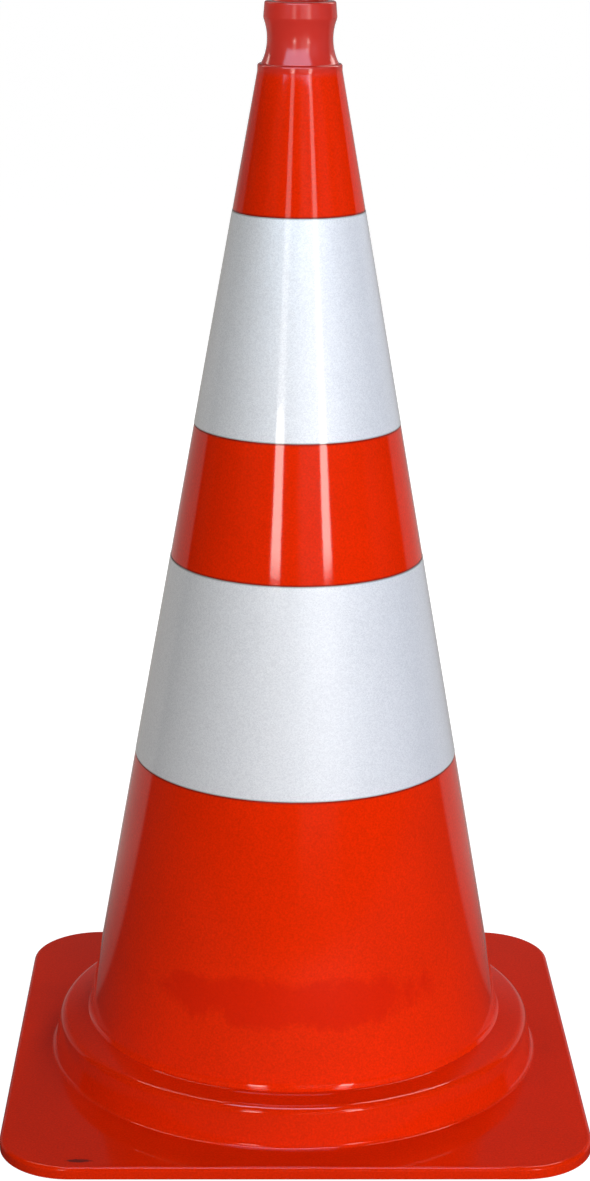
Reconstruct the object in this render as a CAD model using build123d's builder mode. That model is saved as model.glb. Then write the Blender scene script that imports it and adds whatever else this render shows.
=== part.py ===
"""A 750 mm traffic cone: a hollow cone over the spigot of a weighted base, with two reflective sleeves.

The origin is on the floor under the cone's axis: Z points up, and the plate's sides run along X and Y.
All sizes are in millimetres.
"""

from build123d import *

from math import cos, degrees, hypot, radians, sin
import os

# Overall
total_height = 750.0
cone_foot_radius = 147.2  # where the line of the wall meets the base
wall = 3.0  # thickness of the cone's wall
foot_flare = 1.6  # the foot spreads past the line of the wall
foot_flare_height = 5.5

# Neck and grip rim, from the bore outwards
bore_radius = 18.5  # socket for a lamp, a pole or a chain post
neck_wall = 3.4  # at the waist
rim_overhang = 2.5  # rim past the waist
rim_taper = 0.8  # the rim narrows by this towards its top
rim_height = 10.4
rim_bevel_height = 1.4
rim_bevel_step = 0.3
rim_rounding = 1.4
bore_chamfer = 0.8
neck_flare = 3.9  # neck's foot past the waist
shoulder_step = 2.4  # collar past the neck's foot
waist_drop = 24.5  # waist below the top
shoulder_drop = 40.5  # shoulder below the top
shoulder_rounding = 1.6
collar_height = 4.6  # upright band below the shoulder
stack_stop_drop = 49.0  # inner ceiling below the top, which rests on the next cone's rim

# Stacking ribs inside the cone, under its ceiling
stack_rib_count = 6
stack_rib_width = 3.0
stack_rib_depth = 2.4
stack_rib_length = 88.0
stack_rib_runout = 12.0  # lower end fades into the wall over this height
rib_root = 1.0  # how far a rib starts inside the wall behind it

# Reflective sleeves, from the collar down
top_field = 91.9  # bare wall above the upper sleeve
upper_sleeve_height = 145.0
middle_field = 92.9  # bare wall between the sleeves
lower_sleeve_height = 142.2
sleeve_thickness = 0.7
sleeve_proud = 0.2  # sleeve's face past the bare wall
sleeve_gap = 0.6  # open groove above and below a sleeve
lap_thickness = 0.3  # second layer where a sleeve's ends overlap
lap_width = 12.0

# Base: plate, raised ring and spigot, from the floor up
foot_proud = 1.0  # rubber feet below the plate
plate_height = 8.5
plate_skin = 5.0
plate_margin = 27.0  # plate past the ring's foot at mid-side
plate_corner_radius = 50.0
plate_edge_rounding = 3.0
plate_lower_rounding = 0.8
skirt_width = 6.0
ring_height = 26.8  # to the ring's outer edge
ring_width = 19.2  # ring's top, from the cone's foot outwards
ring_top_fall = 2.6  # the ring's top sheds water outwards
ring_draft_run = 5.0  # ring's foot past its top edge
ring_wall = 3.5
ring_top_skin = 3.8
ring_edge_rounding = 6.5
ring_foot_rounding = 3.0
seam_rounding = 0.3
spigot_height = 18.0
spigot_wall = 2.5
spigot_clearance = 0.1

# Ballast ring pressed into the raised ring from below, and held there by a bead
ballast_clearance = 0.3
ballast_bore_gap = 0.5  # ballast's bore past the cone's foot, for a stacked cone to pass
ballast_chamfer = 1.5
bead_lift = 1.0
bead_height = 3.0
bead_depth = 1.3

# Underside ribs and rubber feet
plate_rib_width = 4.0
plate_rib_angles = (0, 45, 90, 135)  # each rib runs right across under the plate
foot_radius = 9.0
foot_seat_depth = 2.0
foot_seat_clearance = 0.2
foot_stem_radius = 3.5
foot_stem_length = 4.0
foot_stem_end_gap = 0.4
foot_edge_inset = 18.0
foot_corner_inset = 80.0
foot_rounding = 0.4
foot_boss_wall = 3.5

# Heights
plate_bottom = foot_proud
plate_top = plate_bottom + plate_height
ring_edge = plate_top + ring_height
ring_top = ring_edge + ring_top_fall
cone_foot = ring_top
shoulder = total_height - shoulder_drop
wall_top = shoulder - collar_height
ceiling = total_height - stack_stop_drop
upper_top = wall_top - top_field
upper_bottom = upper_top - upper_sleeve_height
lower_top = upper_bottom - middle_field
lower_bottom = lower_top - lower_sleeve_height
hollow_edge = ring_edge - ring_top_skin
hollow_top = ring_top - ring_top_skin
bead_bottom = plate_bottom + bead_lift
bead_top = bead_bottom + bead_height
foot_seat = plate_bottom + foot_seat_depth

# Radii and widths
waist_radius = bore_radius + neck_wall
rim_radius = waist_radius + rim_overhang
neck_foot_radius = waist_radius + neck_flare
collar_radius = neck_foot_radius + shoulder_step
flare_radius = cone_foot_radius + foot_flare
ring_top_radius = flare_radius + ring_width
ring_foot_radius = ring_top_radius + ring_draft_run
plate_side = 2 * (ring_foot_radius + plate_margin)
slope = (cone_foot_radius - collar_radius) / (wall_top - cone_foot)
wall_across = wall * hypot(1, slope)  # the wall measured level
recess_depth = sleeve_thickness - sleeve_proud


def wall_radius(z):
    """Outside radius of the cone's bare wall at a height."""
    return cone_foot_radius - slope * (z - cone_foot)


def inner_radius(z):
    """Inside radius of the cone's wall at a height."""
    return wall_radius(z) - wall_across


def hollow_radius(z):
    """Inside radius of the raised ring's sloped wall at a height."""
    return ring_foot_radius - ring_draft_run * (z - plate_top) / ring_height - ring_wall


def upright_plane(angle):
    """Plane that holds the Z axis and turns about it: its x runs outwards at the angle, its y upwards."""
    out_x = cos(radians(angle))
    out_y = sin(radians(angle))
    return Plane(origin=(0, 0, 0), x_dir=(out_x, out_y, 0), z_dir=(out_y, -out_x, 0))


def band(low, high, inside, outside):
    """Outline that follows the cone's bare wall between two heights, from inside to outside past its face."""
    return [
        (wall_radius(low) + inside, low),
        (wall_radius(low) + outside, low),
        (wall_radius(high) + outside, high),
        (wall_radius(high) + inside, high),
    ]


def near(sketch, x, z):
    """Corner of an upright section, while it is drawn, that is nearest to a radius and a height."""
    return sketch.vertices().sort_by_distance((x, z, 0))[0]


def make_cone_body():
    """One hollow moulding of wall, collar, waisted neck and grip rim, with a shallow seat for each sleeve."""
    rim_edge = total_height - rim_height
    rim_top_radius = rim_radius - rim_taper
    flare_top = cone_foot + foot_flare_height
    with BuildPart() as body:
        with BuildSketch(Plane.XZ) as section:
            with BuildLine():
                TangentArc(
                    (wall_radius(flare_top), flare_top),
                    (flare_radius, cone_foot),
                    tangent=(slope, -1),
                )
                outside = Polyline(
                    (wall_radius(flare_top), flare_top),
                    (collar_radius, wall_top),
                    (collar_radius, shoulder),
                    (neck_foot_radius, shoulder),
                )
                neck = ThreePointArc(
                    outside @ 1,
                    (waist_radius, total_height - waist_drop),
                    (rim_radius - rim_bevel_step, rim_edge - rim_bevel_height),
                )
                Polyline(
                    neck @ 1,
                    (rim_radius, rim_edge),
                    (rim_top_radius, total_height),
                    (bore_radius, total_height),
                    (bore_radius, ceiling),
                    (inner_radius(ceiling), ceiling),
                    (inner_radius(cone_foot), cone_foot),
                    (flare_radius, cone_foot),
                )
            make_face()
            fillet(near(section, rim_top_radius, total_height), rim_rounding)
            fillet(near(section, collar_radius, shoulder), shoulder_rounding)
            fillet(near(section, flare_radius, cone_foot), seam_rounding)
            chamfer(near(section, bore_radius, total_height), bore_chamfer)
        revolve(axis=Axis.Z)
        for low, high in ((upper_bottom, upper_top), (lower_bottom, lower_top)):
            with BuildSketch(Plane.XZ):
                with BuildLine():
                    Polyline(*band(low - sleeve_gap, high + sleeve_gap, -recess_depth, wall), close=True)
                make_face()
            revolve(axis=Axis.Z, mode=Mode.SUBTRACT)
        for index in range(stack_rib_count):
            rib_foot = ceiling - stack_rib_length
            full_depth = rib_foot + stack_rib_runout
            with BuildSketch(upright_plane(index * 360 / stack_rib_count)):
                with BuildLine():
                    Polyline(
                        (inner_radius(rib_foot) + rib_root, rib_foot),
                        (inner_radius(rib_foot), rib_foot),
                        (inner_radius(full_depth) - stack_rib_depth, full_depth),
                        (inner_radius(ceiling) - stack_rib_depth, ceiling),
                        (inner_radius(ceiling) - stack_rib_depth, ceiling + rib_root),
                        (inner_radius(ceiling) + rib_root, ceiling + rib_root),
                        close=True,
                    )
                make_face()
            extrude(amount=stack_rib_width / 2, both=True)
    return body


def make_sleeve(low, high):
    """Thin reflective sleeve in its seat on the cone; its ends overlap at the back."""
    lap_angle = degrees(lap_width / wall_radius((low + high) / 2))
    with BuildPart() as sleeve:
        with BuildSketch(Plane.XZ):
            with BuildLine():
                Polyline(*band(low, high, -recess_depth, sleeve_proud), close=True)
            make_face()
        revolve(axis=Axis.Z)
        with BuildSketch(upright_plane(90 - lap_angle / 2)):
            with BuildLine():
                Polyline(*band(low, high, 0, sleeve_proud + lap_thickness), close=True)
            make_face()
        revolve(axis=Axis.Z, revolution_arc=lap_angle)
    return sleeve


def foot_places():
    """Centres of the eight rubber feet, two along each side of the plate."""
    edge = plate_side / 2 - foot_edge_inset
    along = plate_side / 2 - foot_corner_inset
    across_x = [(x, y) for x in (-along, along) for y in (-edge, edge)]
    across_y = [(x, y) for x in (-edge, edge) for y in (-along, along)]
    return across_x + across_y


def make_base():
    """Hollow base: ribbed square plate, raised ring under the cone's foot, and spigot inside the cone."""
    spigot_top = cone_foot + spigot_height
    with BuildPart() as base:
        # Plate with rounded corners and edges
        with BuildSketch(Plane.XY.offset(plate_bottom)):
            RectangleRounded(plate_side, plate_side, plate_corner_radius)
        extrude(amount=plate_height)
        fillet(base.edges().group_by(Axis.Z)[-1], plate_edge_rounding)
        fillet(base.edges().group_by(Axis.Z)[0], plate_lower_rounding)

        # Underside pocket, leaving a skirt, ribs and a boss over each foot
        pocket_side = plate_side - 2 * skirt_width
        with BuildSketch(Plane.XY.offset(plate_bottom)):
            RectangleRounded(pocket_side, pocket_side, plate_corner_radius - skirt_width)
            Circle(ring_foot_radius, mode=Mode.SUBTRACT)
            for angle in plate_rib_angles:
                Rectangle(2 * plate_side, plate_rib_width, rotation=angle, mode=Mode.SUBTRACT)
            with Locations(*foot_places()):
                Circle(foot_radius + foot_seat_clearance + foot_boss_wall, mode=Mode.SUBTRACT)
        extrude(amount=plate_height - plate_skin, mode=Mode.SUBTRACT)

        # Raised ring and spigot, solid at first
        with BuildSketch(Plane.XZ) as section:
            with BuildLine():
                Polyline(
                    (inner_radius(spigot_top) - spigot_clearance - spigot_wall, plate_top - plate_skin),
                    (ring_foot_radius, plate_top - plate_skin),
                    (ring_foot_radius, plate_top),
                    (ring_top_radius, ring_edge),
                    (flare_radius, ring_top),
                    (inner_radius(ring_top) - spigot_clearance, ring_top),
                    (inner_radius(spigot_top) - spigot_clearance, spigot_top),
                    (inner_radius(spigot_top) - spigot_clearance - spigot_wall, spigot_top),
                    close=True,
                )
            make_face()
            fillet(near(section, ring_top_radius, ring_edge), ring_edge_rounding)
        revolve(axis=Axis.Z)
        foot_edge = base.edges().filter_by(GeomType.CIRCLE).filter_by_position(Axis.Z, plate_top, plate_top)
        fillet(foot_edge.sort_by(SortBy.RADIUS)[-1], ring_foot_rounding)

        # Hollow under the ring, and the opening up through the spigot
        with BuildSketch(Plane.XZ):
            with BuildLine():
                Polyline(
                    (0, 0),
                    (hollow_radius(0), 0),
                    (hollow_radius(hollow_edge), hollow_edge),
                    (inner_radius(hollow_top) - spigot_clearance - spigot_wall, hollow_top),
                    (inner_radius(spigot_top) - spigot_clearance - spigot_wall, spigot_top),
                    (0, spigot_top),
                    close=True,
                )
            make_face()
        revolve(axis=Axis.Z, mode=Mode.SUBTRACT)

        # Bead that holds the ballast ring
        with BuildSketch(Plane.XZ):
            with BuildLine():
                Polyline(
                    (hollow_radius(bead_bottom) + rib_root, bead_bottom),
                    (hollow_radius(bead_bottom), bead_bottom),
                    (hollow_radius(bead_top) - bead_depth, bead_top),
                    (hollow_radius(bead_top) + rib_root, bead_top),
                    close=True,
                )
            make_face()
        revolve(axis=Axis.Z)

        # Seats and stem holes of the rubber feet
        with BuildSketch(Plane.XY.offset(plate_bottom)):
            with Locations(*foot_places()):
                Circle(foot_radius + foot_seat_clearance)
        extrude(amount=foot_seat_depth, mode=Mode.SUBTRACT)
        with BuildSketch(Plane.XY.offset(foot_seat)):
            with Locations(*foot_places()):
                Circle(foot_stem_radius)
        extrude(amount=foot_stem_length + foot_stem_end_gap, mode=Mode.SUBTRACT)
    return base


def make_ballast_ring():
    """Heavy ring inside the raised ring; it rests on the base's bead and clears the bore for stacking."""
    ballast_top = hollow_edge - ballast_clearance
    ballast_bore = flare_radius + ballast_bore_gap
    outer_foot = hollow_radius(bead_top) - ballast_clearance
    outer_top = hollow_radius(ballast_top) - ballast_clearance
    with BuildPart() as ballast:
        with BuildSketch(Plane.XZ) as section:
            with BuildLine():
                Polyline(
                    (ballast_bore, bead_top),
                    (outer_foot, bead_top),
                    (outer_top, ballast_top),
                    (ballast_bore, ballast_top),
                    close=True,
                )
            make_face()
            chamfer(near(section, ballast_bore, bead_top), ballast_chamfer)
            chamfer(near(section, outer_top, ballast_top), ballast_chamfer)
            chamfer(near(section, ballast_bore, ballast_top), ballast_chamfer)
        revolve(axis=Axis.Z)
    return ballast


def make_rubber_feet():
    """Eight rubber feet: a flat pad in the plate's seat, and a stem pressed into the hole above it."""
    with BuildPart() as feet:
        with BuildSketch():
            with Locations(*foot_places()):
                Circle(foot_radius)
        extrude(amount=foot_seat)
        fillet(feet.edges().group_by(Axis.Z)[0], foot_rounding)
        with BuildSketch(Plane.XY.offset(foot_seat)):
            with Locations(*foot_places()):
                Circle(foot_stem_radius)
        extrude(amount=foot_stem_length)
    return feet


pieces = {
    "cone_body": make_cone_body(),
    "upper_reflective_sleeve": make_sleeve(upper_bottom, upper_top),
    "lower_reflective_sleeve": make_sleeve(lower_bottom, lower_top),
    "base": make_base(),
    "ballast_ring": make_ballast_ring(),
    "rubber_feet": make_rubber_feet(),
}

os.makedirs("parts", exist_ok=True)
for name, piece in pieces.items():
    piece.part.label = name
    export_step(piece.part, f"parts/{name}.step")
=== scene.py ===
"""Studio picture of a 750 mm traffic cone: glossy PVC, two reflective sleeves and a weighted square base."""

from math import atan2, cos, hypot, pi, radians, sin, sqrt, tan

import bmesh
import bpy
from mathutils import Matrix, Vector


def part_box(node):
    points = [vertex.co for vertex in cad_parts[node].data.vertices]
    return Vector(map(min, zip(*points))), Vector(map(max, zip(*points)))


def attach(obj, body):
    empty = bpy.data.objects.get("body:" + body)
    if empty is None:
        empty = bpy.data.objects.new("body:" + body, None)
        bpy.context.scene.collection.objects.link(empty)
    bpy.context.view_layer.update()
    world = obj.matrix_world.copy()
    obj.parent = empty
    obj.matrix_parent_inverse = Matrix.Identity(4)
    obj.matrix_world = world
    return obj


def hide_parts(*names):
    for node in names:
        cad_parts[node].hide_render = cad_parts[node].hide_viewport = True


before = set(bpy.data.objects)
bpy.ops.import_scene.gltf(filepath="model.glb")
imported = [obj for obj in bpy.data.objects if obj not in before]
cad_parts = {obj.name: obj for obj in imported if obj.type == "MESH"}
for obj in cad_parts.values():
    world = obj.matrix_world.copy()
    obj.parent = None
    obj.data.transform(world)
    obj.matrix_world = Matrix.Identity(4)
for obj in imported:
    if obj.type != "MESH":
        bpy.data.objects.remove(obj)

for name in ("Cube", "Light", "Camera"):
    if name in bpy.data.objects:
        bpy.data.objects.remove(bpy.data.objects[name])
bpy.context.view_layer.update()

MM = 0.001


# Values in node trees, written as sums


class Value:
    """A socket of a node tree; arithmetic on it adds Math nodes."""

    def __init__(self, nodes, socket):
        self.nodes = nodes
        self.socket = socket

    def math(self, operation, *values):
        return self.nodes.add("ShaderNodeMath", {"operation": operation}, *values)

    def __add__(self, other):
        return self.math("ADD", self, other)

    __radd__ = __add__

    def __sub__(self, other):
        return self.math("SUBTRACT", self, other)

    def __rsub__(self, other):
        return self.math("SUBTRACT", other, self)

    def __mul__(self, other):
        return self.math("MULTIPLY", self, other)

    __rmul__ = __mul__

    def __truediv__(self, other):
        return self.math("DIVIDE", self, other)

    def __rtruediv__(self, other):
        return self.math("DIVIDE", other, self)

    def __pow__(self, other):
        return self.math("POWER", self, other)

    def __lt__(self, other):
        return self.math("LESS_THAN", self, other)

    def absolute(self):
        return self.math("ABSOLUTE", self)

    def clamped(self):
        return self.math("MINIMUM", self.math("MAXIMUM", self, 0.0), 1.0)


class Nodes:
    """A node tree being written."""

    def __init__(self, tree):
        self.tree = tree

    def make(self, kind, settings, *values, **named):
        """A node: its settings first, then its sockets by place or by name, with spaces as underscores."""
        node = self.tree.nodes.new(kind)
        for key, setting in settings.items():
            setattr(node, key, setting)
        sockets = [s for s in node.inputs if s.enabled]
        pairs = list(zip(sockets, values))
        for key, value in named.items():
            pairs.append((next(s for s in sockets if s.name == key.replace("_", " ")), value))
        for socket, value in pairs:
            if isinstance(value, Value):
                self.tree.links.new(value.socket, socket)
            elif value is not None:
                socket.default_value = value
        return node

    def add(self, kind, settings, *values, **named):
        """The same, giving the node's first output in use."""
        node = self.make(kind, settings, *values, **named)
        return Value(self, next(s for s in node.outputs if s.enabled))

    def out(self, node, name):
        return Value(self, next(s for s in node.outputs if s.name == name and s.enabled))

    def ramp(self, value, stops, smooth=True):
        """A colour ramp on a value, with (place, colour) stops."""
        node = self.make("ShaderNodeValToRGB", {}, value)
        band = node.color_ramp
        band.interpolation = "EASE" if smooth else "LINEAR"
        while len(band.elements) < len(stops):
            band.elements.new(0.5)
        for element, (place, colour) in zip(band.elements, stops):
            element.position = place
            element.color = (*colour, 1.0)
        return self.out(node, "Color")

    def mix(self, factor, first, second):
        """A colour mixed of two."""
        first = (*first, 1.0) if isinstance(first, tuple) else first
        second = (*second, 1.0) if isinstance(second, tuple) else second
        return self.add("ShaderNodeMix", {"data_type": "RGBA"}, Factor=factor, A=first, B=second)

    def noise(self, place, scale, detail=2.0, roughness=0.5, distortion=0.0):
        settings = {"noise_dimensions": "3D"}
        return self.add("ShaderNodeTexNoise", settings, Vector=place, Scale=scale, Detail=detail,
                        Roughness=roughness, Distortion=distortion)


# Outlines


def rounded(corners, steps=6):
    """Points of a closed outline from (x, z, rounding) corners; a corner with a rounding becomes an arc."""
    points = []
    count = len(corners)
    for index, (x, z, size) in enumerate(corners):
        here = Vector((x, z))
        if size == 0:
            points.append(here)
            continue
        before = (Vector(corners[index - 1][:2]) - here).normalized()
        after = (Vector(corners[(index + 1) % count][:2]) - here).normalized()
        half = before.angle(after) / 2
        middle = here + (before + after).normalized() * size / sin(half)
        start = here + before * size / tan(half) - middle
        finish = here + after * size / tan(half) - middle
        sweep = start.angle_signed(finish)
        for step in range(steps + 1):
            turn = -sweep * step / steps
            points.append(middle + Matrix.Rotation(turn, 2) @ start)
    return points


def arc_through(first, middle, last, steps):
    """Points of the arc through three points, without its two ends."""
    (ax, az), (bx, bz), (cx, cz) = first, middle, last
    span = 2 * (ax * (bz - cz) + bx * (cz - az) + cx * (az - bz))
    a, b, c = ax**2 + az**2, bx**2 + bz**2, cx**2 + cz**2
    centre_x = a * (bz - cz) + b * (cz - az) + c * (az - bz)
    centre_z = a * (cx - bx) + b * (ax - cx) + c * (bx - ax)
    centre = Vector((centre_x, centre_z)) / span
    start = Vector(first) - centre
    sweep = start.angle_signed(Vector(last) - centre)
    return [centre + Matrix.Rotation(-sweep * step / steps, 2) @ start for step in range(1, steps)]


def arc_from(start, heading, end, steps):
    """Points of the arc that leaves start along a heading and reaches end, without its two ends."""
    chord = end - start
    along = heading.normalized()
    side = (along - chord * along.dot(chord) / chord.length_squared).normalized()
    middle = (start + end) / 2 + side * chord.length / 2 * tan(chord.angle(along) / 2)
    return arc_through(start, middle, end, steps)


def divided(points, longest):
    """The closed outline with its long runs cut into equal shorter ones."""
    result = []
    for index, point in enumerate(points):
        run = points[(index + 1) % len(points)] - point
        cuts = max(1, round(run.length / longest))
        result += [point + run * cut / cuts for cut in range(cuts)]
    return result


# Geometry trees


def tree_with(name, inputs):
    """A geometry tree with named inputs, its writer, and its incoming values by name."""
    tree = bpy.data.node_groups.new(name, "GeometryNodeTree")
    face = tree.interface
    face.new_socket("Geometry", in_out="INPUT", socket_type="NodeSocketGeometry")
    face.new_socket("Geometry", in_out="OUTPUT", socket_type="NodeSocketGeometry")
    for label, kind in inputs.items():
        face.new_socket(label, in_out="INPUT", socket_type=f"NodeSocket{kind}")
    nodes = Nodes(tree)
    source = tree.nodes.new("NodeGroupInput")
    values = {s.name: Value(nodes, s) for s in source.outputs if s.name}
    return tree, nodes, values


def end_tree(nodes, geometry, material):
    """Realize Instances, Set Material and the group's output."""
    real = nodes.add("GeometryNodeRealizeInstances", {}, geometry)
    smooth = nodes.add("GeometryNodeSetShadeSmooth", {}, real)
    done = nodes.add("GeometryNodeSetMaterial", {}, smooth, Material=material)
    nodes.make("NodeGroupOutput", {}, done)


def turning_tree():
    """Turns the piece's own outline about Z into a closed shell, as uneven as soft moulded PVC comes out."""
    tree, nodes, given = tree_with("turned_shell", {
        "Outline points": "Int",
        "Steps": "Int",
        "Unevenness": "Float",
        "Wave size": "Float",
        "Material": "Material",
    })
    count = given["Outline points"]
    steps = given["Steps"]
    grid = nodes.add("GeometryNodeMeshGrid", {}, 1.0, 1.0, steps + 1, count + 1)
    index = nodes.add("GeometryNodeInputIndex", {})
    column = index.math("FLOOR", index / (count + 1))
    row = index - column * (count + 1)
    on_outline = row.math("MODULO", row, count)
    place = nodes.add("GeometryNodeInputPosition", {})
    settings = {"data_type": "FLOAT_VECTOR", "domain": "POINT"}
    point = nodes.add("GeometryNodeSampleIndex", settings, given["Geometry"], place, on_outline)
    parts = nodes.make("ShaderNodeSeparateXYZ", {}, point)
    radius = nodes.out(parts, "X")
    height = nodes.out(parts, "Z")
    angle = column / steps * (2 * pi)
    across = angle.math("COSINE", angle)
    along = angle.math("SINE", angle)
    where = nodes.add("ShaderNodeCombineXYZ", {}, across * radius, along * radius, height)
    wave = nodes.noise(where, 1 / given["Wave size"], detail=1.0) - 0.5
    wavy = radius + wave * given["Unevenness"]
    moved = nodes.add("ShaderNodeCombineXYZ", {}, across * wavy, along * wavy, height)
    shell = nodes.add("GeometryNodeSetPosition", {}, grid, Position=moved)
    merged = nodes.add("GeometryNodeMergeByDistance", {}, shell, Distance=1e-6)
    end_tree(nodes, merged, given["Material"])
    return tree


def copying_tree():
    """Copies the piece's own mesh round the Z axis."""
    tree, nodes, given = tree_with("copies_round_axis", {"Count": "Int", "Material": "Material"})
    points = nodes.add("GeometryNodeMeshLine", {}, given["Count"], Offset=(0.0, 0.0, 0.0))
    index = nodes.add("GeometryNodeInputIndex", {})
    turn = nodes.add("ShaderNodeCombineXYZ", {}, 0.0, 0.0, index / given["Count"] * (2 * pi))
    copies = nodes.add("GeometryNodeInstanceOnPoints", {}, points, Instance=given["Geometry"], Rotation=turn)
    end_tree(nodes, copies, given["Material"])
    return tree


# Objects


def mesh_object(name, vertices, faces=(), edges=()):
    """A new object with that mesh, in metres."""
    mesh = bpy.data.meshes.new(name)
    mesh.from_pydata([tuple(v) for v in vertices], list(edges), [tuple(f) for f in faces])
    obj = bpy.data.objects.new(name, mesh)
    bpy.context.scene.collection.objects.link(obj)
    return obj


def shaped(obj, tree, **inputs):
    """Runs a geometry tree on an object and keeps the result as its plain mesh."""
    modifier = obj.modifiers.new("shape", "NODES")
    modifier.node_group = tree
    for socket in tree.interface.items_tree:
        key = socket.name.replace(" ", "_")
        if socket.in_out == "INPUT" and key in inputs:
            modifier[socket.identifier] = inputs[key]
    settle(obj)


def settle(obj):
    """Turns an object's modifiers into its plain mesh, with all faces outwards."""
    bpy.context.view_layer.update()
    evaluated = obj.evaluated_get(bpy.context.evaluated_depsgraph_get())
    mesh = bpy.data.meshes.new_from_object(evaluated)
    obj.modifiers.clear()
    obj.data = mesh
    body = bmesh.new()
    body.from_mesh(mesh)
    bmesh.ops.recalc_face_normals(body, faces=body.faces)
    body.to_mesh(mesh)
    body.free()


def turned(name, outline, material, steps, unevenness=0.0, wave=60.0):
    """A shell turned about Z from a closed outline in millimetres."""
    points = [Vector((x, 0.0, z)) * MM for x, z in outline]
    edges = [(i, i + 1) for i in range(len(points) - 1)]
    obj = mesh_object(name, points, edges=edges)
    shaped(obj, turning, Outline_points=len(points), Steps=steps, Unevenness=unevenness * MM,
           Wave_size=wave * MM, Material=material)
    return obj


def weighted(obj):
    """Smooth shading that keeps corners sharp, and broad faces even beside small roundings."""
    body = bmesh.new()
    body.from_mesh(obj.data)
    for face in body.faces:
        face.smooth = True
    for edge in body.edges:
        edge.smooth = edge.calc_face_angle(pi) < radians(35.0)
    body.to_mesh(obj.data)
    body.free()
    modifier = obj.modifiers.new("even shading", "WEIGHTED_NORMAL")
    modifier.weight = 80
    modifier.keep_sharp = True


turning = turning_tree()
copying = copying_tree()


# Sizes in millimetres: places from the model, and what the looks need beside them

cone_low, cone_high = (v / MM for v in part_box("cone_body"))
upper_low, upper_high = (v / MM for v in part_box("upper_reflective_sleeve"))
lower_low, lower_high = (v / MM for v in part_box("lower_reflective_sleeve"))
base_low, base_high = (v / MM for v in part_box("base"))
pads_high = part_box("rubber_feet")[1] / MM

# Cone, from its foot up
wall = 3.0
foot = cone_low.z
foot_radius = 147.2  # where the line of the wall meets the base
flare_radius = 148.8
flare_height = 5.5
top = cone_high.z
shoulder = top - 40.5
wall_top = shoulder - 4.6
collar_radius = 28.2
neck_foot_radius = 25.8
waist = top - 24.5
waist_radius = 21.9
rim_edge = top - 10.4
rim_radius = 24.4
rim_top_radius = 23.6
rim_bevel_height = 1.4
rim_bevel_step = 0.3
ceiling = top - 49.0
bore = 18.5
slope = (foot_radius - collar_radius) / (wall_top - foot)

# Stacking ribs inside the cone
stack_rib_count = 6
stack_rib_width = 3.0
stack_rib_depth = 2.4
stack_rib_length = 88.0
stack_rib_runout = 12.0
stack_rib_root = 1.0
stack_rib_rounding = 0.35

# Sleeves
groove = 0.6
groove_rounding = 0.22
sleeve_proud = 0.2
sleeve_thickness = 0.7
sleeve_seat = sleeve_thickness - sleeve_proud
sleeve_clearance = 0.02  # behind the film
lap_width = 12.0
lap_thickness = 0.28
lap_sink = 0.05  # how far the lap starts inside the film under it
lap_inset = 0.3  # lap short of the sleeve's cut edges

# How finely turned walls are cut, and how uneven they are
wall_steps = 224
wall_run = 7.0
wall_unevenness = 0.12
wall_wave = 70.0

# Base
plate_half = base_high.x
plate_corner = 50.0
plate_bottom = base_low.z
plate_top = plate_bottom + 8.5
pocket_top = plate_top - 5.0
skirt = 6.0
plate_rib_count = 8
plate_rib_width = 4.0
ring_foot_radius = 173.0
ring_top_radius = 168.0
ring_edge = plate_top + 26.8
ring_top = ring_edge + 2.6
ring_wall = 3.5
ring_skin = 3.8
bead_low = plate_bottom + 1.0
bead_high = bead_low + 3.0
bead_depth = 1.3
spigot_wall = 2.5
spigot_clearance = 0.1
spigot_top = base_high.z
base_steps = 480
underside_setback = 0.15  # ribs and bosses short of the skirt's lower face
join_overlap = 1.0  # how far a joined piece runs into its neighbour

# Rubber feet
pad_radius = 9.0
pad_gap = 0.2
pad_seat = plate_bottom + 2.0
pad_stem = 3.5
pad_stem_gap = 0.4
pad_corner_inset = 80.0
pad_boss_wall = 3.5


def wall_radius(z):
    """Outside radius of the cone's bare wall."""
    return foot_radius - slope * (z - foot)


def inner_radius(z):
    """Inside radius of the cone's wall."""
    return wall_radius(z) - wall * hypot(1, slope)


# Pieces


def make_cone(material):
    """The hollow cone: wall with two sleeve seats, collar, waisted neck, grip rim and stacking ribs."""
    flare_start = Vector((wall_radius(foot + flare_height), foot + flare_height))
    flare_end = Vector((flare_radius, foot))
    flare = arc_from(flare_start, Vector((slope, -1.0)), flare_end, 8)
    corners = [(inner_radius(foot), foot, 0.4), (flare_radius, foot, 0.3)]
    corners += [(x, z, 0) for x, z in (*reversed(flare), flare_start)]
    for low, high in ((lower_low.z, lower_high.z), (upper_low.z, upper_high.z)):
        corners += [
            (wall_radius(low - groove), low - groove, groove_rounding),
            (wall_radius(low - groove) - sleeve_seat, low - groove, 0.1),
            (wall_radius(high + groove) - sleeve_seat, high + groove, 0.1),
            (wall_radius(high + groove), high + groove, groove_rounding),
        ]
    corners += [(wall_radius(wall_top), wall_top, 8.0), (collar_radius, shoulder, 1.6)]
    under_rim = (rim_radius - rim_bevel_step, rim_edge - rim_bevel_height)
    neck = arc_through((neck_foot_radius, shoulder), (waist_radius, waist), under_rim, 18)
    corners += [(neck_foot_radius, shoulder + 0.2, 0.7)]
    corners += [(x, z, 0) for x, z in neck[1:]]
    corners += [
        (*under_rim, 0.4),
        (rim_radius, rim_edge, 0.8),
        (rim_top_radius, top, 1.4),
        (bore, top, 0.8),
        (bore, ceiling, 0.5),
        (inner_radius(ceiling), ceiling, 1.0),
    ]
    cone = turned_wall("cone", rounded(corners), material)
    joined(cone, make_stacking_ribs(material))
    return cone


def turned_wall(name, outline, material):
    """A turned shell cut finely enough for its slight unevenness."""
    return turned(name, divided(outline, wall_run), material, wall_steps, wall_unevenness, wall_wave)


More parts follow.
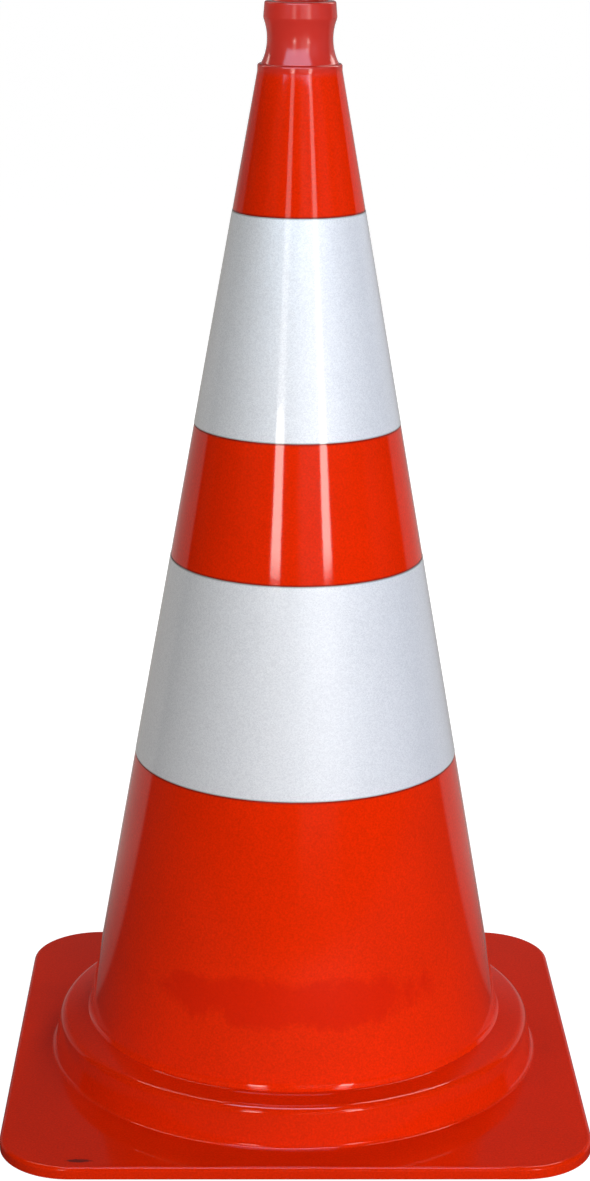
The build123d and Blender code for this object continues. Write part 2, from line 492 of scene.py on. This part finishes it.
def make_stacking_ribs(material):
    """Six upright ribs under the inner ceiling, their lower ends fading into the wall."""
    low = ceiling - stack_rib_length
    full = low + stack_rib_runout
    side = [
        (inner_radius(low) + stack_rib_root, low),
        (inner_radius(low), low),
        (inner_radius(full) - stack_rib_depth, full),
        (inner_radius(ceiling) - stack_rib_depth, ceiling),
        (inner_radius(ceiling) - stack_rib_depth, ceiling + stack_rib_root),
        (inner_radius(ceiling) + stack_rib_root, ceiling + stack_rib_root),
    ]
    half = stack_rib_width / 2
    rib = mesh_object("rib", [(x * MM, y * MM, z * MM) for y in (-half, half) for x, z in side])
    prism_faces(rib, len(side))
    bevelled(rib, stack_rib_rounding)
    shaped(rib, copying, Count=stack_rib_count, Material=material)
    return rib


def prism_faces(obj, count):
    """Faces between a first and a second outline of that many points, and over both ends."""
    body = bmesh.new()
    body.from_mesh(obj.data)
    body.verts.ensure_lookup_table()
    first, second = body.verts[:count], body.verts[count:]
    body.faces.new(first)
    body.faces.new(reversed(second))
    for i in range(count):
        j = (i + 1) % count
        body.faces.new((first[j], first[i], second[i], second[j]))
    bmesh.ops.recalc_face_normals(body, faces=body.faces)
    body.to_mesh(obj.data)
    body.free()


def bevelled(obj, width):
    """Rounds the sharp edges of a piece."""
    modifier = obj.modifiers.new("rounding", "BEVEL")
    modifier.width = width * MM
    modifier.segments = 3
    modifier.limit_method = "ANGLE"
    settle(obj)


def joined(obj, *others):
    """Joins other pieces' meshes into the first."""
    body = bmesh.new()
    for piece in (obj, *others):
        body.from_mesh(piece.data)
    body.to_mesh(obj.data)
    body.free()
    for piece in others:
        bpy.data.objects.remove(piece)


def make_sleeve(name, low, high, material):
    """A thin sleeve of film in its seat, with rounded cut edges and its ends lapped at the back."""
    inside, outside = sleeve_clearance - sleeve_seat, sleeve_proud
    corners = [
        (wall_radius(low) + inside, low, 0.0),
        (wall_radius(low) + outside, low, groove_rounding),
        (wall_radius(high) + outside, high, groove_rounding),
        (wall_radius(high) + inside, high, 0.0),
    ]
    sleeve = turned_wall(name, rounded(corners, 4), material)
    joined(sleeve, make_lap(low + lap_inset, high - lap_inset, material))
    return sleeve


def make_lap(low, high, material):
    """The second layer of film where a sleeve's ends overlap at the back."""
    turn = lap_width / wall_radius((low + high) / 2)
    lap_steps, rows = 10, 24
    vertices = []
    for layer in (sleeve_proud - lap_sink, sleeve_proud + lap_thickness):
        for row in range(rows + 1):
            z = low + (high - low) * row / rows
            for step in range(lap_steps + 1):
                angle = pi / 2 + turn * (step / lap_steps - 0.5)
                r = wall_radius(z) + layer
                vertices.append((r * cos(angle) * MM, r * sin(angle) * MM, z * MM))
    faces = []
    per_row = lap_steps + 1
    per_layer = per_row * (rows + 1)
    for layer in (0, 1):
        for row in range(rows):
            for step in range(lap_steps):
                a = layer * per_layer + row * per_row + step
                faces.append((a, a + 1, a + 1 + per_row, a + per_row))
    rim = list(range(per_row))
    rim += [row * per_row + lap_steps for row in range(1, rows + 1)]
    rim += [rows * per_row + step for step in reversed(range(lap_steps))]
    rim += [row * per_row for row in reversed(range(1, rows))]
    for here, there in zip(rim, rim[1:] + rim[:1]):
        faces.append((here, there, there + per_layer, here + per_layer))
    lap = mesh_object("lap", vertices, faces)
    lap.data.materials.append(material)
    settle(lap)
    return lap


def square_point(angle, inset):
    """Point at a polar angle on the plate's rounded-square outline, taken in by an inset."""
    half = plate_half - inset
    corner = plate_corner - inset
    centre = half - corner
    turn = angle % (pi / 2)
    quarter = int(angle // (pi / 2))
    if turn < atan2(centre, half):
        spot = Vector((half, half * tan(turn)))
    elif turn > atan2(half, centre):
        spot = Vector((half / tan(turn), half))
    else:
        way = Vector((cos(turn), sin(turn)))
        middle = Vector((centre, centre))
        reach = way.dot(middle) + sqrt(way.dot(middle) ** 2 - middle.length_squared + corner**2)
        spot = way * reach
    return Matrix.Rotation(quarter * pi / 2, 2) @ spot


def hollow_radius(z):
    """Inside radius of the raised ring's sloped wall."""
    lean = (ring_foot_radius - ring_top_radius) / (ring_edge - plate_top)
    return ring_foot_radius - lean * (z - plate_top) - ring_wall


def make_base(material):
    """The base in one moulding: square plate, raised ring and spigot, hollow and ribbed underneath."""
    hollow_inner = ring_top - ring_skin
    hollow_edge = ring_edge - ring_skin
    spigot_inner = spigot_wall + spigot_clearance
    corners = [
        (inner_radius(spigot_top) - spigot_inner, spigot_top, 0.6),
        (inner_radius(spigot_top) - spigot_clearance, spigot_top, 0.6),
        (inner_radius(ring_top) - spigot_clearance, ring_top, 0.0),
        (flare_radius, ring_top, 0.0),
        (ring_top_radius, ring_edge, 6.5),
        (ring_foot_radius, plate_top, 3.0),
        (plate_half, plate_top, 3.0),
        (plate_half, plate_bottom, 0.8),
        (plate_half - skirt, plate_bottom, 0.5),
        (plate_half - skirt, pocket_top, 0.8),
        (ring_foot_radius, pocket_top, 0.8),
        (ring_foot_radius, plate_bottom, 0.5),
        (hollow_radius(plate_bottom), plate_bottom, 0.5),
        (hollow_radius(bead_low), bead_low, 0.3),
        (hollow_radius(bead_high) - bead_depth, bead_high, 0.3),
        (hollow_radius(bead_high), bead_high, 0.2),
        (hollow_radius(hollow_edge), hollow_edge, 1.5),
        (inner_radius(hollow_inner) - spigot_inner, hollow_inner, 0.6),
    ]
    outline = rounded(corners, 7)
    square_from = (plate_half + ring_foot_radius) / 2
    vertices = []
    for step in range(base_steps):
        angle = 2 * pi * step / base_steps
        for x, z in outline:
            if x > square_from:
                spot = square_point(angle, plate_half - x)
            else:
                spot = Vector((cos(angle), sin(angle))) * x
            vertices.append((spot.x * MM, spot.y * MM, z * MM))
    count = len(outline)
    faces = []
    for step in range(base_steps):
        here, there = step * count, (step + 1) % base_steps * count
        for i in range(count):
            j = (i + 1) % count
            faces.append((here + i, there + i, there + j, here + j))
    base = mesh_object("base_moulding", vertices, faces)
    base.data.materials.append(material)
    settle(base)
    seat = pad_radius + pad_gap
    boss = seat + pad_boss_wall
    for index in range(plate_rib_count):
        add_rib(base, index * 2 * pi / plate_rib_count)
    for x, y in pad_places():
        cut(base, plug(x, y, boss, plate_bottom + underside_setback, pocket_top + join_overlap), "UNION")
    for x, y in pad_places():
        cut(base, plug(x, y, seat, plate_bottom - join_overlap, pad_seat), "DIFFERENCE")
        cut(base, plug(x, y, pad_stem, pad_seat - join_overlap / 2, pads_high.z + pad_stem_gap), "DIFFERENCE")
    return base


def pad_places():
    """Centres of the eight rubber feet in millimetres, two along each side of the plate."""
    across, along = pads_high.x - pad_radius, plate_half - pad_corner_inset
    places = [(x, y) for x in (-along, along) for y in (-across, across)]
    return places + [(y, x) for x, y in places]


def plug(x, y, radius, low, high, sides=48):
    """A round peg in millimetres, for joining or cutting."""
    rim = [(x + radius * cos(2 * pi * i / sides), y + radius * sin(2 * pi * i / sides)) for i in range(sides)]
    vertices = [(a * MM, b * MM, z * MM) for z in (low, high) for a, b in rim]
    peg = mesh_object("plug", vertices)
    prism_faces(peg, sides)
    return peg


def add_rib(base, angle):
    """One straight rib under the plate, from inside the ring's wall to inside the skirt."""
    way = Vector((cos(angle), sin(angle)))
    side = Vector((-way.y, way.x)) * plate_rib_width / 2
    start = way * (ring_foot_radius - join_overlap)
    end = square_point(angle, skirt - join_overlap)
    ring = [start + side, start - side, end - side, end + side]
    heights = (plate_bottom + underside_setback, pocket_top + join_overlap)
    vertices = [(v.x * MM, v.y * MM, z * MM) for z in heights for v in ring]
    rib = mesh_object("plate_rib", vertices)
    prism_faces(rib, 4)
    cut(base, rib, "UNION")


def cut(obj, tool, operation):
    """Joins a closed tool to a closed piece, or cuts it out, and removes the tool."""
    modifier = obj.modifiers.new("join", "BOOLEAN")
    modifier.object = tool
    modifier.operation = operation
    modifier.solver = "MANIFOLD"
    settle(obj)
    bpy.data.objects.remove(tool)


def make_pads(material):
    """Eight rubber feet, each a round pad with two grooves round its tread, and a stem into the plate."""
    corners = [
        (0.01, 0.4, 0.0), (3.0, 0.4, 0.2), (3.4, 0.0, 0.2), (5.4, 0.0, 0.2), (5.8, 0.5, 0.2), (6.4, 0.5, 0.2),
        (6.8, 0.0, 0.2), (pad_radius, 0.0, 0.4), (pad_radius, pad_seat, 0.2), (pad_stem, pad_seat, 0.2),
        (pad_stem, pads_high.z, 0.3), (0.01, pads_high.z, 0.0),
    ]
    pad = turned("rubber_pads", rounded(corners, 3), material, steps=40)
    pads = bmesh.new()
    for x, y in pad_places():
        start = len(pads.verts)
        pads.from_mesh(pad.data)
        pads.verts.ensure_lookup_table()
        bmesh.ops.translate(pads, verts=pads.verts[start:], vec=(x * MM, y * MM, 0.0))
    pads.to_mesh(pad.data)
    pads.free()
    return pad


# Finishes

red = (0.80, 0.0225, 0.0006)
# painted shade: the base gets the cone's red made darker, a shaded copy of the same PVC
base_red_painted_shade = tuple(0.9 * c for c in red)
# painted shade and painted sheen: the neck's darker, pinkish red stands in for reflected haze
neck_red_painted_shade_and_sheen = (0.60, 0.034, 0.022)
# painted reflection: a darker red for a dark reflection low on the cone's front
dark_reflection_red = (0.66, 0.011, 0.0004)
scratch_red = (0.35, 0.02, 0.01)
scuff_black = (0.07, 0.012, 0.010)
# painted shade for the sleeve grooves
groove_painted_shade = (0.10, 0.012, 0.008)
film_white = (0.95, 0.96, 0.97)
film_grey = (0.74, 0.75, 0.77)
# painted shade for the film's cut edges beside the grooves
film_edge_painted_shade = (0.16, 0.16, 0.13)


def new_material(name):
    """A material, its writer, its shader and its object coordinates."""
    material = bpy.data.materials.new(name)
    material.use_nodes = True
    nodes = Nodes(material.node_tree)
    shader = material.node_tree.nodes["Principled BSDF"]
    place = nodes.out(nodes.make("ShaderNodeTexCoord", {}), "Object")
    return material, nodes, shader, place


def feed(nodes, shader, **values):
    """Feeds the shader's sockets, by name with spaces as underscores."""
    for key, value in values.items():
        socket = shader.inputs[key.replace("_", " ")]
        if isinstance(value, Value):
            nodes.tree.links.new(value.socket, socket)
        else:
            socket.default_value = value


def near_heights(height, places, reach):
    """1 at each of those heights in millimetres, fading to 0 within a reach."""
    mask = 0.0
    for place in places:
        away = (height - place * MM).absolute()
        mask = (1.0 - away / (reach * MM)).clamped() + mask
    return mask.clamped()


def oval(first, second, centre, reach):
    """0 at a place in millimetres on two axes, growing to 1 on the oval of that reach round it."""
    first_part = (first - centre[0] * MM) / (reach[0] * MM)
    second_part = (second - centre[1] * MM) / (reach[1] * MM)
    return first_part**2.0 + second_part**2.0


def marks_and_painted_reflection(nodes, place, spot, pigment):
    """The pigment with a painted dark reflection patch low on the cone's front, and a scuff and fine
    scratches on the plate.
    """
    across, depth, height = (nodes.out(spot, axis) for axis in "XYZ")
    on_plate = height < (plate_top + 1.5) * MM

    # Painted reflection: a darker patch low on the cone's front stands in for a dark reflection.
    ragged = nodes.noise(place, 24.0, detail=5.0, roughness=0.7, distortion=0.6)
    reach = oval(across, height, (0.0, 97.0), (100.0, 20.0)) * 0.5 + ragged * 1.5
    dark_reflection = nodes.add("ShaderNodeMapRange", {}, reach, 1.0, 1.2, 1.0, 0.0) * (depth < 0.0)
    pigment = nodes.mix(dark_reflection * 0.6, pigment, dark_reflection_red)

    speck = nodes.noise(place, 300.0, detail=4.0, roughness=0.7)
    reach = oval(across, depth, (-144.0, -189.5), (10.0, 2.8)) + speck * 1.6
    scuff = nodes.add("ShaderNodeMapRange", {}, reach, 1.2, 1.7, 1.0, 0.0) * on_plate
    pigment = nodes.mix(scuff * 0.8, pigment, scuff_black)

    thread = nodes.noise(place, 90.0, detail=1.0, distortion=2.5) - 0.5
    reach = oval(across, depth, (176.0, -160.0), (14.0, 18.0))
    scratched = (thread.absolute() < 0.006) * (reach < 1.0) * on_plate
    return nodes.mix(scratched * 0.4, pigment, scratch_red)


def pvc(name, colour, grooves=()):
    """Glossy soft PVC: grained cloudy pigment, a rougher neck painted darker and pinkish (painted shade and
    painted sheen), painted shade in its grooves, orange-peel skin.
    """
    material, nodes, shader, place = new_material(name)
    spot = nodes.make("ShaderNodeSeparateXYZ", {}, place)
    height = nodes.out(spot, "Z")
    cloud = nodes.noise(place, 14.0, detail=3.0)
    grain = nodes.noise(place, 750.0, detail=1.0)
    deep = tuple(c * 0.87 for c in colour)
    bright = tuple(c * 1.13 for c in colour)
    pigment = nodes.ramp(cloud * 0.3 + grain * 0.7, [(0.3, deep), (0.7, bright)], smooth=False)
    # The neck is painted a darker, pinkish red: painted shade and painted sheen for reflected haze. The same
    # mask also makes it rougher.
    neck_sheen_from, neck_sheen_to = (wall_top - 3) * MM, (shoulder - 1) * MM
    neck_rough_and_painted_sheen = nodes.add("ShaderNodeMapRange", {}, height, neck_sheen_from, neck_sheen_to, 0.0, 1.0)
    pigment = nodes.mix(neck_rough_and_painted_sheen, pigment, neck_red_painted_shade_and_sheen)
    # Painted shade: the cone is darkened along the sleeve grooves, where shadow falls.
    if grooves:
        pigment = nodes.mix(near_heights(height, grooves, 1.3) * 0.75, pigment, groove_painted_shade)
    pigment = marks_and_painted_reflection(nodes, place, spot, pigment)
    peel = nodes.noise(place, 420.0, detail=2.0)
    bump = nodes.add("ShaderNodeBump", {}, Strength=0.2, Distance=0.00005, Height=peel)
    smudge = nodes.noise(place, 60.0, detail=4.0, roughness=0.6)
    gloss = 0.05 + smudge * 0.05 + neck_rough_and_painted_sheen * 0.10
    feed(nodes, shader, Base_Color=pigment, Roughness=gloss, Normal=bump, IOR=1.5)
    return material


def reflective_film():
    """White film of glass beads on a metallic backing, under a clear glossy face, with painted grey shade at
    its cut edges.
    """
    material, nodes, shader, place = new_material("reflective_film")
    beads = nodes.make("ShaderNodeTexVoronoi", {"feature": "F1"}, Vector=place, Scale=1500.0)
    sparkle = nodes.out(nodes.make("ShaderNodeSeparateColor", {}, nodes.out(beads, "Color")), "Red")
    cloud = nodes.noise(place, 30.0, detail=3.0)
    shade = sparkle * 0.10 + cloud * 0.03
    colour = nodes.ramp(shade, [(0.0, film_grey), (0.13, film_white)], smooth=False)
    height = nodes.out(nodes.make("ShaderNodeSeparateXYZ", {}, place), "Z")
    edges = (upper_low.z, upper_high.z, lower_low.z, lower_high.z)
    # Painted shade: the film is greyed along its cut edges, where the grooves beside it fall into shadow.
    colour = nodes.mix(near_heights(height, edges, 1.1) * 0.8, colour, film_edge_painted_shade)
    bump = nodes.add("ShaderNodeBump", {}, Strength=0.3, Distance=0.00006, Height=sparkle)
    feed(nodes, shader, Base_Color=colour, Roughness=0.40 + sparkle * 0.15, Metallic=0.10 + sparkle * 0.10,
         Normal=bump, Coat_Weight=1.0, Coat_Roughness=0.06, Coat_IOR=1.5)
    return material


def rubber(name, grey, scale):
    """Matt black rubber with a fine grain."""
    material, nodes, shader, place = new_material(name)
    grain = nodes.noise(place, scale, detail=5.0)
    colour = nodes.ramp(grain, [(0.3, (grey * 0.7,) * 3), (0.75, (grey * 1.5,) * 3)])
    bump = nodes.add("ShaderNodeBump", {}, Strength=0.5, Distance=0.0004, Height=grain)
    feed(nodes, shader, Base_Color=colour, Roughness=0.65 + grain * 0.2, Normal=bump)
    return material


def floor_material():
    """Plain pale floor: white where it is seen, and in the gloss dim in front and pale behind."""
    material, nodes, shader, place = new_material("pale_floor")
    seen = nodes.out(nodes.make("ShaderNodeLightPath", {}), "Is Camera Ray")
    spot = nodes.make("ShaderNodeSeparateXYZ", {}, place)
    across, depth = nodes.out(spot, "X"), nodes.out(spot, "Y")
    bearing = depth / (across**2.0 + depth**2.0) ** 0.5
    sweep = nodes.add("ShaderNodeMapRange", {}, bearing, 0.42, 0.47, 0.0, 1.0)
    behind = nodes.add("ShaderNodeMapRange", {}, depth, 0.0, 0.45, 0.0, 1.0)
    mirrored = nodes.mix(sweep * behind, (0.0, 0.0, 0.0), (0.34, 0.32, 0.30))
    glow = nodes.mix(seen, mirrored, (0.985, 0.985, 0.985))
    shade = nodes.mix(seen, (0.04, 0.04, 0.04), (0.25, 0.25, 0.25))
    feed(nodes, shader, Base_Color=shade, Roughness=0.9, Emission_Color=glow, Emission_Strength=1.0)
    return material


# Assembly

sleeve_grooves = [z + side * groove / 2 for z, side in (
    (upper_low.z, -1), (upper_high.z, 1), (lower_low.z, -1), (lower_high.z, 1),
)]
cone_pvc = pvc("cone_pvc", red, sleeve_grooves)
base_pvc = pvc("base_pvc", base_red_painted_shade)
film = reflective_film()

cone = make_cone(cone_pvc)
upper = make_sleeve("upper_sleeve", upper_low.z, upper_high.z, film)
lower = make_sleeve("lower_sleeve", lower_low.z, lower_high.z, film)
base = make_base(base_pvc)
pads = make_pads(rubber("foot_rubber", 0.03, 900.0))
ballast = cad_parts["ballast_ring"]
ballast.material_slots[0].material = rubber("ballast_compound", 0.05, 250.0)

for piece, node, slot in (
    (cone, "cone_body", "cone_pvc"),
    (upper, "upper_reflective_sleeve", "reflective_film"),
    (lower, "lower_reflective_sleeve", "reflective_film"),
    (base, "base", "base_pvc"),
    (pads, "rubber_feet", "foot_rubber"),
):
    weighted(piece)
    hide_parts(node)
    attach(piece, "root")

# Studio

scene = bpy.context.scene
scene.view_settings.view_transform = "Standard"
scene.view_settings.look = "None"

floor_half = 30.0
floor_corners = [(x * floor_half, y * floor_half, 0.0) for x, y in ((-1, -1), (1, -1), (1, 1), (-1, 1))]
floor = mesh_object("floor", floor_corners, [(0, 1, 2, 3)])
floor.data.materials.append(floor_material())


def area_light(name, azimuth, height, distance, width, length, radiance, aim_height, shows,
               colour=(1.0, 1.0, 1.0)):
    """A rectangular light aimed at the cone's axis, at an azimuth from the front, positive to the right.

    It shows either in the gloss, as a strip light does, or only as soft light, as through a polariser.
    """
    light = bpy.data.lights.new(name, "AREA")
    light.shape = "RECTANGLE"
    light.size = width
    light.size_y = length
    light.energy = radiance * pi * width * length
    light.color = colour
    obj = bpy.data.objects.new(name, light)
    scene.collection.objects.link(obj)
    turn = radians(azimuth)
    obj.location = (distance * sin(turn), -distance * cos(turn), height)
    aim = Vector((0.0, 0.0, aim_height)) - obj.location
    obj.rotation_euler = aim.to_track_quat("-Z", "Y").to_euler()
    obj.visible_glossy = shows == "gloss"
    obj.visible_diffuse = shows == "soft"
    obj.visible_camera = False


daylight = (1.0, 1.0, 1.0)
cool = (0.88, 0.98, 1.25)
warm = (1.0, 0.93, 0.86)
window = (0.55, 0.95, 1.30)
for name, azimuth, height, radiance, colour in (
    ("key", 15, 0.8, 9.3, daylight),
    ("fill_left", -50, 1.2, 2.6, daylight),
    ("fill_right", 48, 1.3, 4.2, cool),
    ("side_right", 84, 0.8, 1.2, cool),
    ("side_left", -110, 0.8, 2.0, daylight),
    ("back_left", -150, 0.9, 3.3, daylight),
    ("back_right", 150, 1.3, 7.0, daylight),
):
    area_light(name, azimuth, height, 2.4, 1.2, 1.2, radiance, 0.35, "soft", colour)
for name, azimuth, height, distance, width, length, radiance, aim_height, colour in (
    ("strip_left", -19.5, 0.63, 1.8, 0.27, 0.22, 11.0, 0.63, warm),
    ("strip_left_top", -19.5, 1.09, 1.8, 0.27, 0.68, 2.4, 1.09, warm),
    ("strip_right", 27.0, 0.63, 1.8, 0.24, 0.22, 11.0, 0.63, warm),
    ("strip_right_top", 27.0, 1.09, 1.8, 0.24, 0.68, 3.2, 1.09, warm),
    ("high_front", -10.0, 0.936, 0.3, 0.55, 0.31, 4.6, 0.715, window),
    ("high_left", -122.0, 1.05, 0.5, 0.07, 0.5, 7.0, 0.715, warm),
    ("high_right", 125.0, 1.05, 0.5, 0.20, 0.5, 5.0, 0.715, warm),
):
    area_light(name, azimuth, height, distance, width, length, radiance, aim_height, "gloss", colour)

neck_lamp = bpy.data.lights.new("neck_lamp", "SPOT")
neck_lamp.energy = 62.0
neck_lamp.spot_size = radians(2.6)
neck_lamp.spot_blend = 0.5
neck_lamp.shadow_soft_size = 0.05
neck_spot = bpy.data.objects.new("neck_lamp", neck_lamp)
scene.collection.objects.link(neck_spot)
neck_spot.location = (-1.95, -0.35, 0.80)
neck_aim = Vector((0.0, 0.0, 0.748)) - neck_spot.location
neck_spot.rotation_euler = neck_aim.to_track_quat("-Z", "Y").to_euler()
neck_spot.visible_glossy = False

world = bpy.data.worlds.new("studio")
scene.world = world
world.use_nodes = True
sky = Nodes(world.node_tree)
background = world.node_tree.nodes["Background"]
seen = sky.out(sky.make("ShaderNodeLightPath", {}), "Is Camera Ray")
way = sky.make("ShaderNodeSeparateXYZ", {}, sky.out(sky.make("ShaderNodeTexCoord", {}), "Generated"))
side, depth, rise = (sky.out(way, axis) for axis in "XYZ")
backdrop = sky.add("ShaderNodeMapRange", {}, depth, 0.42, 0.47, 0.0, 1.0)
falloff = sky.add("ShaderNodeMapRange", {}, rise, 0.15, 0.42, 1.0, 0.22)
surround = backdrop * falloff * (0.30 + side * 0.12) + 0.004
strength = seen + (1.0 - seen) * surround
world.node_tree.links.new(strength.socket, background.inputs["Strength"])
background.inputs["Color"].default_value = (1.0, 1.0, 1.0, 1.0)

camera_data = bpy.data.cameras.new("camera")
camera = bpy.data.objects.new("camera", camera_data)
scene.collection.objects.link(camera)
scene.camera = camera
camera_data.sensor_width = 36.0
camera_data.lens = 82.75
camera_data.clip_end = 200.0
eye = Vector((-0.0278, -1.8175, 0.8582))
heading, pitch, roll = 0.0148, 0.27345, 0.0068
forward = Vector((sin(heading) * cos(pitch), cos(heading) * cos(pitch), -sin(pitch)))
level = Vector((cos(heading), -sin(heading), 0.0))
upward = level.cross(forward)
right = cos(roll) * level + sin(roll) * upward
up = cos(roll) * upward - sin(roll) * level
camera.matrix_world = Matrix((
    (right.x, up.x, -forward.x, eye.x),
    (right.y, up.y, -forward.y, eye.y),
    (right.z, up.z, -forward.z, eye.z),
    (0.0, 0.0, 0.0, 1.0),
))

bpy.context.view_layer.update()
